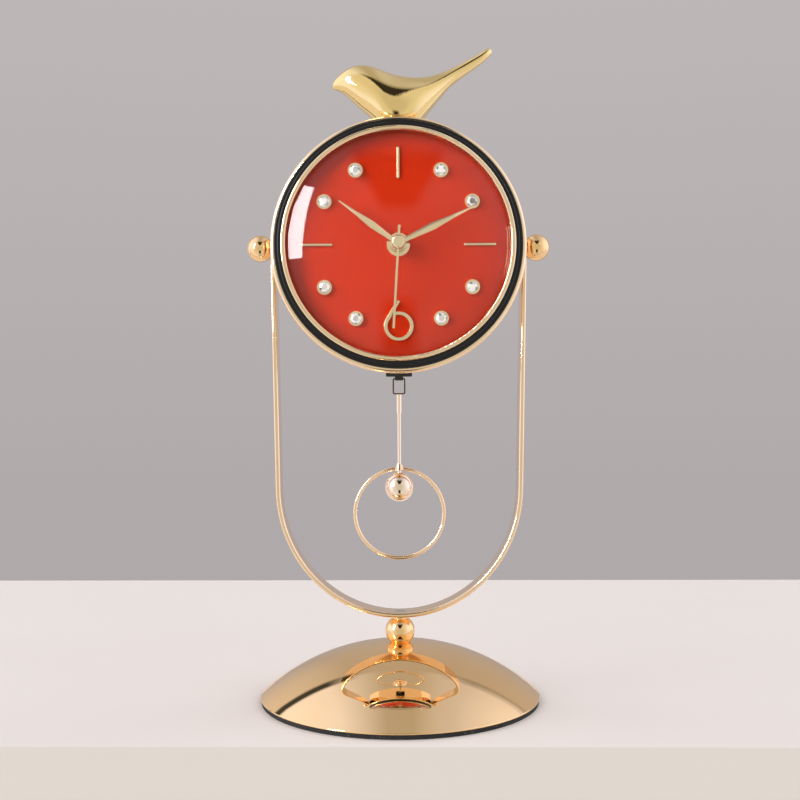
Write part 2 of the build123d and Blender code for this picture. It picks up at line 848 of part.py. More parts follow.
def gear(teeth, mate_teeth, first_tooth):
    """Gear outline in the open sketch, for a mate at the wheels' spacing."""
    module = 2 * wheel_spacing / (teeth + mate_teeth)
    pitch_radius = teeth * module / 2
    tip_radius = pitch_radius + tooth_addendum * module
    root_radius = pitch_radius - tooth_dedendum * module
    flank = tan(radians(tooth_flank_angle))
    half_width = pi * module / 4 - tooth_side_gap
    tip_half = (half_width - (tip_radius - pitch_radius) * flank) / tip_radius
    root_half = (half_width + (pitch_radius - root_radius) * flank) / root_radius
    rising = ((root_radius, -root_half), (tip_radius, -tip_half))
    falling = ((tip_radius, tip_half), (root_radius, root_half))
    outline = []
    for tooth in range(teeth):
        middle = radians(first_tooth + full_turn * tooth / teeth)
        for radius, aside in rising + falling:
            outline.append((radius * cos(middle + aside), radius * sin(middle + aside)))
    Polygon(*outline, align=None)


# Hour wheel on its tube: a gap of its teeth faces the minute wheel's pinion above it
hour_tube_front = hour_depth + hand_thickness + tube_lead
hour_wheel_back = centre_bush_back - wheel_gap - wheel_thickness
with BuildPart() as hour_wheel:
    with BuildSketch(facing(hour_wheel_back)):
        gear(hour_wheel_teeth, minute_pinion_teeth, quarter_turn + half_turn / hour_wheel_teeth)
    extrude(amount=wheel_thickness)
    with BuildSketch(facing(hour_wheel_back)):
        Circle(hour_tube_radius)
    extrude(amount=hour_tube_front - hour_wheel_back)
    with BuildSketch(facing(hour_wheel_back)):
        Circle(hour_bore)
    extrude(amount=hour_tube_front - hour_wheel_back, mode=Mode.SUBTRACT)
keep(hour_wheel, "hour_wheel")

# Minute pipe with its pinion: a tooth faces the minute wheel above it
minute_pipe_front = minute_depth + hand_thickness + tube_lead
minute_wheel_back = hour_wheel_back - wheel_step - wheel_thickness
minute_pipe_back = minute_wheel_back - pipe_tail
minute_bore = second_arbor_radius + running_gap
pinion_back = minute_wheel_back - pinion_overlap
with BuildPart() as minute_pipe:
    with BuildSketch(facing(minute_pipe_back)):
        Circle(minute_pipe_radius)
    extrude(amount=minute_pipe_front - minute_pipe_back)
    with BuildSketch(facing(pinion_back)):
        gear(pinion_teeth, minute_wheel_teeth, quarter_turn)
    extrude(amount=wheel_thickness + 2 * pinion_overlap)
    with BuildSketch(facing(minute_pipe_back)):
        Circle(minute_bore)
    extrude(amount=minute_pipe_front - minute_pipe_back, mode=Mode.SUBTRACT)
keep(minute_pipe, "minute_pipe")

# Minute wheel, its pinion and the arbor that reaches the setting knob behind
wheel_plane_z = pivot_z + wheel_spacing
set_knob_front = movement_back_depth - set_knob_gap
set_knob_back = set_knob_front - set_knob_height
arbor_front = movement_front_depth - movement_wall / 2 - fit_gap
small_pinion_back = minute_wheel_back + wheel_thickness
small_pinion_front = hour_wheel_back + wheel_thickness + pinion_overlap


def at_minute_wheel(depth):
    return Plane(origin=(0, -depth, wheel_plane_z), x_dir=(1, 0, 0), z_dir=(0, -1, 0))


with BuildPart() as minute_wheel:
    with BuildSketch(at_minute_wheel(minute_wheel_back)):
        gear(minute_wheel_teeth, pinion_teeth, half_turn / minute_wheel_teeth - quarter_turn)
    extrude(amount=wheel_thickness)
    with BuildSketch(at_minute_wheel(small_pinion_back)):
        gear(minute_pinion_teeth, hour_wheel_teeth, -quarter_turn)
    extrude(amount=small_pinion_front - small_pinion_back)
    with BuildSketch(at_minute_wheel(set_knob_back)):
        Circle(arbor_radius)
    extrude(amount=arbor_front - set_knob_back)
keep(minute_wheel, "minute_wheel")

# Ribbed setting knob on the back of the arbor
with BuildPart() as set_knob:
    with BuildSketch(at_minute_wheel(set_knob_back)):
        Circle(set_knob_radius)
        with PolarLocations(set_knob_radius, set_knob_ribs):
            Circle(set_knob_rib_radius)
        Circle(arbor_radius + fit_gap, mode=Mode.SUBTRACT)
    extrude(amount=set_knob_height)
keep(set_knob, "set_knob")

# Motor block that turns the second arbor, and its coil
with BuildPart() as motor_unit:
    with BuildSketch(facing(housing_inner_back)):
        section_block(-motor_half_width, motor_half_width, -motor_bottom, motor_top)
        Circle(minute_bore, mode=Mode.SUBTRACT)
    extrude(amount=motor_thickness)
keep(motor_unit, "motor_unit")

coil_depth = housing_inner_back + motor_coil_radius
with BuildPart() as motor_coil:
    with BuildSketch(Plane.YZ.offset(motor_coil_end - motor_coil_length)):
        with Locations((-coil_depth, pivot_z + motor_coil_rise)):
            Circle(motor_coil_radius)
    extrude(amount=motor_coil_length)
keep(motor_coil, "motor_coil")

# Circuit board with its quartz can
with BuildPart() as circuit_board:
    with BuildSketch(facing(housing_inner_back)):
        with Locations((-board_side, board_rise)):
            Rectangle(board_width, board_height)
    extrude(amount=board_thickness)
keep(circuit_board, "circuit_board")

can_depth = housing_inner_back + board_thickness + can_radius
with BuildPart() as quartz_can:
    with BuildSketch(Plane.XY.offset(pivot_z + board_rise - can_length / 2)):
        with Locations((-board_side, -can_depth)):
            Circle(can_radius)
    extrude(amount=can_length)
keep(quartz_can, "quartz_can")

# Battery across the housing, with a contact at each end
battery_z = pivot_z - battery_drop
battery_half = battery_length / 2
with BuildPart() as battery:
    with BuildSketch(Plane.YZ.offset(-battery_half)):
        with Locations((0, battery_z)):
            Circle(battery_radius)
    extrude(amount=battery_length - battery_nub_length)
    with BuildSketch(Plane.YZ.offset(battery_half - battery_nub_length)):
        with Locations((0, battery_z)):
            Circle(battery_nub_radius)
    extrude(amount=battery_nub_length)
keep(battery, "battery")

contact_outer = tray_half - fit_gap
with BuildPart() as battery_contacts:
    for side in (-1, 1):
        with BuildSketch(Plane.YZ.offset(side * contact_outer)):
            with Locations((0, battery_z)):
                Rectangle(contact_size, contact_size)
        extrude(amount=-side * contact_thickness)
        with BuildSketch(Plane.YZ.offset(side * contact_outer)):
            with Locations((0, battery_z)):
                Circle(battery_nub_radius)
        extrude(amount=-side * (contact_outer - battery_half))
keep(battery_contacts, "battery_contacts")

# Hands: leaves on round hubs


def leaf(length, width):
    """Leaf outline in the open sketch, along the sketch's Y."""
    with BuildLine() as outline:
        flank = Spline(
            (hand_root_width / 2, 0),
            (width / 2, hand_belly_share * length),
            (hand_tip_width / 2, length),
        )
        Line(flank @ 1, (0, length))
        Line((0, 0), flank @ 0)
        mirror(about=Plane.YZ)
    make_face(outline.line)


with BuildPart() as hour_hand:
    with BuildSketch(facing(hour_depth, hour_angle)):
        leaf(hour_length, hour_width)
        Circle(hour_hub_radius)
        Circle(hour_tube_radius + fit_gap, mode=Mode.SUBTRACT)
    extrude(amount=hand_thickness)
keep(hour_hand, "hour_hand")

with BuildPart() as minute_hand:
    with BuildSketch(facing(minute_depth, minute_angle)):
        leaf(minute_length, minute_width)
        Circle(minute_hub_radius)
        Circle(minute_pipe_radius + fit_gap, mode=Mode.SUBTRACT)
    extrude(amount=hand_thickness)
keep(minute_hand, "minute_hand")

# Second hand with its tail and cap, on the arbor that turns inside the minute pipe
second_arbor_front = second_depth + hand_thickness + second_cap_height / 2
with BuildPart() as second_arbor:
    with BuildSketch(facing(housing_inner_back)):
        Circle(second_arbor_radius)
    extrude(amount=second_arbor_front - housing_inner_back)
keep(second_arbor, "second_arbor")

with BuildPart() as second_hand:
    with BuildSketch(facing(second_depth, second_angle)):
        section_block(-second_width / 2, second_width / 2, -second_tail, second_length)
        with Locations((0, -second_tail)):
            Circle(second_tail_width / 2)
    extrude(amount=hand_thickness)
    with BuildSketch(facing(second_depth)):
        Circle(second_cap_radius)
    extrude(amount=hand_thickness + second_cap_height)
    fillet(second_hand.edges().group_by(Axis.Y)[0], radius=second_cap_round)
    with BuildSketch(facing(second_depth)):
        Circle(second_arbor_radius + fit_gap)
    extrude(amount=second_arbor_front + fit_gap - second_depth, mode=Mode.SUBTRACT)
keep(second_hand, "second_hand")

# Back cover with a window round the movement, for the battery and the setting knob
window_width = 2 * (movement_half_width + window_margin)
window_height = movement_top + movement_bottom + 2 * window_margin
with BuildPart() as back_cover:
    with BuildSketch(facing(cover_back)):
        Circle(case_inner - cover_gap)
        with Locations((0, (movement_top - movement_bottom) / 2)):
            RectangleRounded(window_width, window_height, window_corner, mode=Mode.SUBTRACT)
        with PolarLocations(cover_screw_circle, cover_screw_count, start_angle=quarter_turn):
            Circle(cover_screw_radius + fit_gap, mode=Mode.SUBTRACT)
    extrude(amount=cover_thickness)
keep(back_cover, "back_cover")

with BuildPart() as back_cover_screws:
    with BuildSketch(facing(cover_back - cover_screw_head_height)):
        with PolarLocations(cover_screw_circle, cover_screw_count, start_angle=quarter_turn):
            Circle(cover_screw_head_radius)
    extrude(amount=cover_screw_head_height)
    with BuildSketch(facing(cover_back)):
        with PolarLocations(cover_screw_circle, cover_screw_count, start_angle=quarter_turn):
            Circle(cover_screw_radius)
    extrude(amount=cover_thickness + cover_seat_thickness)
keep(back_cover_screws, "back_cover_screws")

# Bird on the top of the case, lofted from beak to tail, and the screw that holds it


def bird_plane(place, top, bottom):
    middle_z = case_top_z + (top + bottom) / 2
    return Plane(origin=(place, bird_setback, middle_z), x_dir=(0, 1, 0), z_dir=(1, 0, 0))


with BuildPart() as bird:
    for place, top, bottom, width in bird_sections:
        with BuildSketch(bird_plane(place, top, bottom)):
            Ellipse(width / 2, (top - bottom) / 2)
    loft()
    with BuildSketch(head_section):
        section_block(0, case_radius + fit_gap, -cut_reach, cut_reach)
    revolve(axis=head_axis, mode=Mode.SUBTRACT)
    with BuildSketch(Plane.XY.offset(pivot_z)):
        with Locations((bird_screw_place, bird_setback)):
            Circle(bird_screw_radius + fit_gap)
    extrude(amount=case_radius + bird_screw_depth, mode=Mode.SUBTRACT)
keep(bird, "bird")

screw_reach = abs(bird_screw_place) + bird_screw_head_radius
screw_seat_z = pivot_z + sqrt(case_inner**2 - screw_reach**2) - fit_gap
with BuildPart() as bird_screw:
    with BuildSketch(Plane.XY.offset(screw_seat_z - bird_screw_head_height)):
        with Locations((bird_screw_place, bird_setback)):
            Circle(bird_screw_head_radius)
    extrude(amount=bird_screw_head_height)
    with BuildSketch(Plane.XY.offset(screw_seat_z)):
        with Locations((bird_screw_place, bird_setback)):
            Circle(bird_screw_radius)
    extrude(amount=case_top_z + bird_screw_depth - fit_gap - screw_seat_z)
keep(bird_screw, "bird_screw")

# Sleeve that lines the pendulum's slot in the case
liner_bottom_z = case_bottom_z - loop_drop + swing_room
liner_flange_z = pivot_z - sqrt(case_inner**2 - (liner_width / 2 + liner_flange)**2) + fit_gap
with BuildPart() as slot_liner:
    with BuildSketch(Plane.XY.offset(liner_bottom_z)):
        Rectangle(liner_width, liner_depth)
    extrude(amount=liner_flange_z - liner_bottom_z)
    with BuildSketch(Plane.XY.offset(liner_flange_z)):
        Rectangle(liner_width + 2 * liner_flange, liner_depth)
    extrude(amount=liner_flange_thickness)
    with BuildSketch(Plane.XY.offset(liner_bottom_z)):
        Rectangle(hanger_slot_width, hanger_slot_depth)
    extrude(amount=liner_flange_z + liner_flange_thickness - liner_bottom_z, mode=Mode.SUBTRACT)
keep(slot_liner, "slot_liner")

# Pin that the hanger swings on, and the coil that drives the hanger's magnet
with BuildPart() as pendulum_pin:
    with BuildSketch(facing(movement_back_depth)):
        with Locations((0, -pin_drop)):
            Circle(arbor_radius)
    extrude(amount=movement_depth)
keep(pendulum_pin, "pendulum_pin")

magnet_drop = pin_drop - hanger_top_rise
bobbin_front = hanger_back - coil_gap
with BuildPart() as coil_bobbin:
    with BuildSketch(facing(housing_inner_back)):
        with Locations((0, -magnet_drop)):
            Circle(coil_outer_radius)
    extrude(amount=coil_flange)
    with BuildSketch(facing(housing_inner_back)):
        with Locations((0, -magnet_drop)):
            Circle(coil_inner_radius)
    extrude(amount=bobbin_front - housing_inner_back)
keep(coil_bobbin, "coil_bobbin")

with BuildPart() as drive_coil:
    with BuildSketch(facing(housing_inner_back + coil_flange)):
        with Locations((0, -magnet_drop)):
            Circle(coil_outer_radius)
            Circle(coil_inner_radius + fit_gap, mode=Mode.SUBTRACT)
    extrude(amount=bobbin_front - housing_inner_back - coil_flange)
keep(drive_coil, "drive_coil")

# Hanger: an arm on the pin, a boss for the magnet above and a hook for the loop below
loop_top_z = case_bottom_z - loop_drop
hook_floor_z = loop_top_z - loop_strip
hanger_bottom_z = hook_floor_z - hook_lip
hook_roof_z = hook_floor_z + loop_strip + hook_mouth
hook_half = loop_depth / 2 + hook_side_gap
hanger_middle = -(hanger_front + hanger_back) / 2
with BuildPart() as hanger:
    with BuildSketch(Plane.XY.offset(hanger_bottom_z)):
        with Locations((0, hanger_middle)):
            Rectangle(hanger_width, hanger_front - hanger_back)
    extrude(amount=pin_z + hanger_top_rise - hanger_bottom_z)
    with BuildSketch(facing(hanger_back)):
        with Locations((0, -magnet_drop)):
            Circle(hanger_boss_radius)
    extrude(amount=hanger_front - hanger_back)
    with BuildSketch(Plane.YZ.offset(-hanger_width)):
        section_block(-hook_half, hook_half, hook_floor_z, hook_roof_z)
        section_block(hook_half, hook_half + hanger_width, hook_roof_z - hook_mouth, hook_roof_z)
        section_block(hook_half + hook_lip_wall, hook_half + hanger_width, hanger_bottom_z, hook_roof_z)
    extrude(amount=2 * hanger_width, mode=Mode.SUBTRACT)
    with BuildSketch(facing(hanger_back)):
        with Locations((0, -pin_drop)):
            Circle(arbor_radius + running_gap)
    extrude(amount=hanger_front - hanger_back, mode=Mode.SUBTRACT)
    with BuildSketch(facing(hanger_back)):
        with Locations((0, -magnet_drop)):
            Circle(magnet_radius + fit_gap)
    extrude(amount=magnet_thickness, mode=Mode.SUBTRACT)
keep(hanger, "hanger")

with BuildPart() as hanger_magnet:
    with BuildSketch(facing(hanger_back)):
        with Locations((0, -magnet_drop)):
            Circle(magnet_radius)
    extrude(amount=magnet_thickness)
keep(hanger_magnet, "hanger_magnet")

# Strip loop that hangs on the hook
loop_bottom_z = loop_top_z - loop_height
with BuildPart() as pendulum_loop:
    with BuildSketch(Plane.XZ.offset(-loop_depth / 2)):
        with Locations((0, loop_top_z - loop_height / 2)):
            RectangleRounded(loop_width, loop_height, loop_corner)
            RectangleRounded(
                loop_width - 2 * loop_strip,
                loop_height - 2 * loop_strip,
                loop_corner - loop_strip,
                mode=Mode.SUBTRACT,
            )
    extrude(amount=loop_depth)
keep(pendulum_loop, "pendulum_loop")

# Ferrule and rod
ferrule_bottom_z = loop_bottom_z - ferrule_length
rod_top_z = loop_bottom_z - ferrule_cap
ring_top_z = case_bottom_z - ring_top_drop
with BuildPart() as pendulum_ferrule:
    with BuildSketch(Plane.XY.offset(ferrule_bottom_z)):
        Circle(ferrule_radius)
    extrude(amount=ferrule_length)
    with BuildSketch(Plane.XY.offset(ferrule_bottom_z)):
        Circle(rod_radius + fit_gap)
    extrude(amount=ferrule_length - ferrule_cap, mode=Mode.SUBTRACT)
keep(pendulum_ferrule, "pendulum_ferrule")

with BuildPart() as pendulum_rod:
    with BuildSketch(Plane.XY.offset(ring_top_z)):
        Circle(rod_radius)
    extrude(amount=rod_top_z - ring_top_z)
keep(pendulum_rod, "pendulum_rod")

# Wire ring, the collar that joins it to the rod, and the ball under its top
ring_radius = ring_diameter / 2 - ring_wire_radius
ring_centre_z = ring_top_z - ring_diameter / 2

with BuildPart() as pendulum_ring:
    with BuildSketch(Plane.XY.offset(ring_centre_z)):
        with Locations((ring_radius, 0)):
            Circle(ring_wire_radius)
    revolve(axis=Axis((0, 0, ring_centre_z), (0, 1, 0)))
keep(pendulum_ring, "pendulum_ring")

with BuildPart() as pendulum_collar:
    with BuildSketch(Plane.XZ):
        with BuildLine():
            Polyline(
                (rod_radius + fit_gap, ring_top_z + collar_rise),
                (collar_top_radius, ring_top_z + collar_rise),
                (collar_bottom_radius, ring_top_z - collar_skirt),
                (0, ring_top_z - collar_skirt),
                (0, ring_top_z - fit_gap),
                (rod_radius + fit_gap, ring_top_z - fit_gap),
                close=True,
            )
        make_face()
    revolve(axis=Axis.Z)
    with BuildSketch(Plane.XY.offset(ring_centre_z)):
        with Locations((ring_radius, 0)):
            Circle(ring_wire_radius + fit_gap)
    revolve(axis=Axis((0, 0, ring_centre_z), (0, 1, 0)), mode=Mode.SUBTRACT)
keep(pendulum_collar, "pendulum_collar")

ball_z = ring_top_z - ball_drop - ball_radius
with BuildPart() as pendulum_ball:
    with Locations((0, 0, ball_z)):
        Sphere(ball_radius)
    with BuildSketch(Plane.XY.offset(ball_z)):
        Circle(ball_neck_radius)
    extrude(amount=ring_top_z - collar_skirt - ball_z)
    with BuildSketch(Plane.XY.offset(ring_centre_z)):
        with Locations((ring_radius, 0)):
            Circle(ring_wire_radius + fit_gap)
    revolve(axis=Axis((0, 0, ring_centre_z), (0, 1, 0)), mode=Mode.SUBTRACT)
keep(pendulum_ball, "pendulum_ball")
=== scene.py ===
from math import cos, radians, sin, tau

import bmesh
import bpy
from mathutils import Matrix, Vector


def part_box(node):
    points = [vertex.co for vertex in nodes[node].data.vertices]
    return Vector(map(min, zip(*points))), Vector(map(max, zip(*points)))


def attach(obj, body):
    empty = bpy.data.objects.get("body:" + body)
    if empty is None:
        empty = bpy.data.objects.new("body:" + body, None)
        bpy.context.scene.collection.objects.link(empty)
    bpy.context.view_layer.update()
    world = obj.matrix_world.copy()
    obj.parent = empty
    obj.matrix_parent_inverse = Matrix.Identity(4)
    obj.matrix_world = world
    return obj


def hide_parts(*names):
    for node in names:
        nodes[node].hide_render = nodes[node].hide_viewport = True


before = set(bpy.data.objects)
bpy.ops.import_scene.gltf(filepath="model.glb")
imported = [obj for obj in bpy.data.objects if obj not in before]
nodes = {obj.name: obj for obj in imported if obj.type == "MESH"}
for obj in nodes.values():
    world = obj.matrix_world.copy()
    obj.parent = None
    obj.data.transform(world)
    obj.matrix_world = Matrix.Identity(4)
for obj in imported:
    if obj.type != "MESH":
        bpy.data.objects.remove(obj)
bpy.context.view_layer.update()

# Foot pad: a disc of black closed-cell foam, die cut and glued under the foot so that the
# metal doesn't mark the table. The cut edge shows its cells.


class Wire:
    """A socket among the nodes of a material. Arithmetic on it adds Math nodes."""

    def __init__(self, owner, socket):
        self.owner = owner
        self.socket = socket

    @classmethod
    def start(cls, owner, outlet="Object"):
        """Opens a new material or world, as the wire that carries its own coordinates."""
        owner.use_nodes = True
        place = owner.node_tree.nodes.new("ShaderNodeTexCoord")
        return cls(owner, place.outputs[outlet])

    def plug(self, node, sockets):
        for name, value in sockets.items():
            if isinstance(value, Wire):
                self.owner.node_tree.links.new(value.socket, node.inputs[name])
            else:
                node.inputs[name].default_value = value

    def node(self, kind, settings, sockets, outlet=0):
        """Adds any other node: its settings first, then its sockets."""
        made = self.owner.node_tree.nodes.new("ShaderNode" + kind)
        for name, value in settings.items():
            setattr(made, name, value)
        self.plug(made, sockets)
        return Wire(self.owner, made.outputs[outlet])

    def math(self, operation, first, second):
        return self.node("Math", {"operation": operation}, {0: first, 1: second})

    def __add__(self, other):
        return self.math("ADD", self, other)

    __radd__ = __add__

    def __sub__(self, other):
        return self.math("SUBTRACT", self, other)

    def __rsub__(self, other):
        return self.math("SUBTRACT", other, self)

    def __mul__(self, other):
        return self.math("MULTIPLY", self, other)

    __rmul__ = __mul__

    def __pow__(self, other):
        return self.math("POWER", self, other)

    def between(self, low, high):
        """Stretches the part of the values from low to high over 0 to 1."""
        return self.node("MapRange", {}, {"Value": self, "From Min": low, "From Max": high})

    def mix(self, first, second):
        """Goes from the first colour to the second as this value goes from 0 to 1."""
        return self.node("Mix", {"data_type": "RGBA"}, {0: self, 6: first, 7: second}, 2)

    def noise(self, scale, detail=3.0):
        return self.node("TexNoise", {}, {"Vector": self, "Scale": scale, "Detail": detail})

    def cells(self, scale):
        return self.node("TexVoronoi", {}, {"Vector": self, "Scale": scale})

    def bump(self, strength, depth):
        return self.node("Bump", {}, {"Height": self, "Strength": strength, "Distance": depth})

    def edges(self, reach):
        """Is 1 on an edge and 0 on the faces beside it."""
        eased = self.node("Bevel", {"samples": 4}, {"Radius": reach})
        flat = self.node("NewGeometry", {}, {}, "Normal")
        along = self.node("VectorMath", {"operation": "DOT_PRODUCT"}, {0: eased, 1: flat}, "Value")
        return (1 - along).between(0.02, 0.3)

    def surface(self, sockets):
        self.plug(self.owner.node_tree.nodes["Principled BSDF"], sockets)
        return self.owner


def dress(node, material):
    """Gives a solid of the frame its finish."""
    slots = nodes[node].data.materials
    slots.clear()
    slots.append(material)


foam = Wire.start(bpy.data.materials.new("black_foam"))
foam_cells = foam.cells(scale=1400.0)
foam_dust = foam.noise(scale=700.0).between(0.62, 0.72)
foam_shade = foam_cells.mix((0.006, 0.006, 0.007, 1), (0.022, 0.022, 0.024, 1))
dress("base_pad", foam.surface({
    "Base Color": foam_dust.mix(foam_shade, (0.09, 0.09, 0.095, 1)),
    "Roughness": 0.72 + 0.2 * foam_cells,
    "Normal": foam_cells.bump(strength=0.6, depth=0.0004),
}))

# Ballast: a cast iron disc inside the foot, as it comes out of the sand, that keeps the
# clock from tipping.
iron = Wire.start(bpy.data.materials.new("cast_iron"))
iron_grit = iron.noise(scale=420.0, detail=5.0)
iron_rust = iron.noise(scale=60.0).between(0.55, 0.75)
dress("base_weight", iron.surface({
    "Base Color": iron_rust.mix((0.06, 0.058, 0.056, 1), (0.16, 0.065, 0.03, 1)),
    "Roughness": 0.55 + 0.3 * iron_grit,
    "Metallic": 0.8 - 0.7 * iron_rust,
    "Normal": iron_grit.bump(strength=0.5, depth=0.0006),
}))

# Washer, nut and tie stud: turned from steel bar and zinc plated. The stud runs up through the
# foot and the stem into the strap, and the nut under the foot draws them together.


def bright_steel(name, colour, grain):
    """Plated steel with turning marks and brighter edges."""
    steel = Wire.start(bpy.data.materials.new(name))
    marks = steel.noise(scale=grain, detail=4.0)
    worn = steel.edges(reach=0.0003)
    film = steel.noise(scale=90.0).mix(colour, tuple(0.7 * part for part in colour[:3]) + (1,))
    return steel.surface({
        "Base Color": worn.mix(film, (0.86, 0.86, 0.87, 1)),
        "Metallic": 1.0,
        "Roughness": 0.2 + 0.22 * marks,
        "Normal": marks.bump(strength=0.08, depth=0.0002),
    })


zinc_steel = bright_steel("zinc_plated_steel", (0.62, 0.63, 0.66, 1), grain=800.0)
for part in ("base_washer", "base_nut", "stem_stud"):
    dress(part, zinc_steel)

# Foot: a dome spun from thin brass, gold plated to a mirror and lacquered, with its lip
# rolled in over the pad.


def gold_plate(name, colour, deep, gloss, haze_size, rub=0.0):
    """Gold plate: a mirror polish, hazed by cleaning, with pin holes, and paler on rubbed edges."""
    plate = Wire.start(bpy.data.materials.new(name))
    haze = plate.noise(scale=haze_size, detail=5.0).between(0.35, 0.75)
    wave = plate.noise(scale=150.0, detail=2.0)
    pin_holes = plate.cells(scale=75.0).between(0.024, 0.012)
    tone = pin_holes.mix(haze.mix(colour, deep), (0.50, 0.33, 0.15, 1))
    rough = gloss + 0.03 * haze + 0.2 * pin_holes
    if rub:
        rubbed = plate.edges(rub)
        tone = rubbed.mix(tone, (0.97, 0.78, 0.52, 1))
        rough = rough + 0.05 * rubbed
    return plate.surface({
        "Base Color": tone,
        "Metallic": 1.0,
        "Roughness": rough,
        "Normal": wave.bump(strength=0.004, depth=0.0002),
    })


dome_gold = gold_plate(
    "foot_gold", (0.95, 0.66, 0.34, 1), (0.93, 0.62, 0.30, 1), gloss=0.02, haze_size=30.0,
)
dress("base_dome", dome_gold)

# Stem: a brass ball with a neck under it, turned and polished on the lathe, gold plated, and
# held between the foot and the strap by the stud that runs through it.
stem_gold = gold_plate(
    "stem_gold", (0.97, 0.67, 0.35, 1), (0.95, 0.62, 0.29, 1), gloss=0.02, haze_size=70.0,
)
dress("stem_ball", stem_gold)

# Strap: one flat bar with rounded edges, bent to a deep U and plated, that carries the head
# by its two ends.
strap_gold = gold_plate(
    "strap_gold", (0.96, 0.73, 0.50, 1), (0.94, 0.69, 0.44, 1), gloss=0.03, haze_size=55.0,
)
dress("u_frame", strap_gold)

# Ball knobs: turned and plated like the stem, one at each end of the strap. The screw of each
# goes through the strap into a bush in the case and holds the head at its tilt.
for part in ("knob_left", "knob_right"):
    dress(part, stem_gold)

# Case: a shell spun from brass sheet with a rolled rim, plated like the strap. The rings
# that seat the dial and the back cover are soldered into it.
case_gold = gold_plate(
    "case_gold", (0.95, 0.74, 0.50, 1), (0.93, 0.69, 0.44, 1), gloss=0.05, haze_size=40.0,
)
for part in ("case_shell", "case_seats"):
    dress(part, case_gold)

# Movement: two moulded shells of black plastic, snapped together round white wheels and the
# motor. The hanger, the liner of its slot and the washers of the pivots are moulded too.


def moulded(name, colour, pale, grain):
    """Moulded plastic: a fine spark-eroded skin, paler where its edges are rubbed."""
    skin = Wire.start(bpy.data.materials.new(name))
    pores = skin.noise(scale=grain, detail=4.0)
    rubbed = skin.edges(reach=0.0004)
    cloud = skin.noise(scale=45.0).mix(colour, tuple(1.35 * part for part in colour[:3]) + (1,))
    return skin.surface({
        "Base Color": rubbed.mix(cloud, pale),
        "Roughness": 0.42 + 0.2 * pores - 0.1 * rubbed,
        "Normal": pores.bump(strength=0.12, depth=0.0002),
    })


black_moulding = moulded(
    "black_moulding", (0.016, 0.016, 0.017, 1), (0.07, 0.07, 0.072, 1), grain=1500.0,
)
white_moulding = moulded(
    "white_moulding", (0.62, 0.61, 0.57, 1), (0.74, 0.73, 0.69, 1), grain=1300.0,
)
for part in ("movement_front", "movement_back", "set_knob", "slot_liner", "hanger"):
    dress(part, black_moulding)
for part in ("motor_unit", "minute_wheel", "minute_pipe", "hour_wheel", "coil_bobbin", "pivot_washers"):
    dress(part, white_moulding)

# Coils: lacquered copper wire, machine wound on their bobbins. One drives the motor, and the
# other pushes the magnet of the pendulum.
winding = Wire.start(bpy.data.materials.new("copper_winding"))
turns = winding.node(
    "TexWave", {"bands_direction": "X"}, {"Vector": winding, "Scale": 1600.0, "Distortion": 0.6},
)
dress("motor_coil", winding.surface({
    "Base Color": turns.mix((0.28, 0.07, 0.02, 1), (0.78, 0.30, 0.12, 1)),
    "Metallic": 1.0,
    "Roughness": 0.34 - 0.1 * turns,
    "Normal": turns.bump(strength=0.5, depth=0.0002),
}))
dress("drive_coil", winding.owner)

# Circuit board: glass fibre with copper tracks under green solder resist, laid in the housing.
# Its quartz can, the contacts, the arbor, the pin, the magnet and the bird's screw are bare steel.
board = Wire.start(bpy.data.materials.new("green_board"))
tracks = board.cells(scale=420.0).between(0.3, 0.36)
weave = board.noise(scale=1500.0)
dress("circuit_board", board.surface({
    "Base Color": tracks.mix((0.01, 0.16, 0.06, 1), (0.005, 0.075, 0.03, 1)),
    "Roughness": 0.3 + 0.2 * weave,
    "Normal": tracks.bump(strength=0.3, depth=0.0001),
}))
bare_steel = bright_steel("bare_steel", (0.52, 0.52, 0.53, 1), grain=1200.0)
for part in (
    "quartz_can", "battery_contacts", "second_arbor", "pendulum_pin", "hanger_magnet", "bird_screw",
):
    dress(part, bare_steel)

# Battery: a steel cell of a usual size in a shrunk plain sleeve, dark with a copper band at
# its positive end, pushed in between the two contacts.
cell_low, cell_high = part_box("battery")
cell = Wire.start(bpy.data.materials.new("cell_sleeve"))
along = cell.node("SeparateXYZ", {}, {"Vector": cell}, "X").between(cell_low.x, cell_high.x)
band = along.between(0.72, 0.725)
off_middle = along - 0.5
ends = off_middle.math("ABSOLUTE", off_middle, 0.0).between(0.482, 0.486)
scuffs = cell.noise(scale=300.0, detail=5.0)
sleeve = band.mix((0.014, 0.014, 0.016, 1), (0.58, 0.25, 0.1, 1))
dress("battery", cell.surface({
    "Base Color": ends.mix(sleeve, (0.6, 0.6, 0.6, 1)),
    "Metallic": 0.15 + 0.85 * ends,
    "Roughness": 0.26 + 0.2 * scuffs,
    "Normal": scuffs.bump(strength=0.05, depth=0.0001),
}))

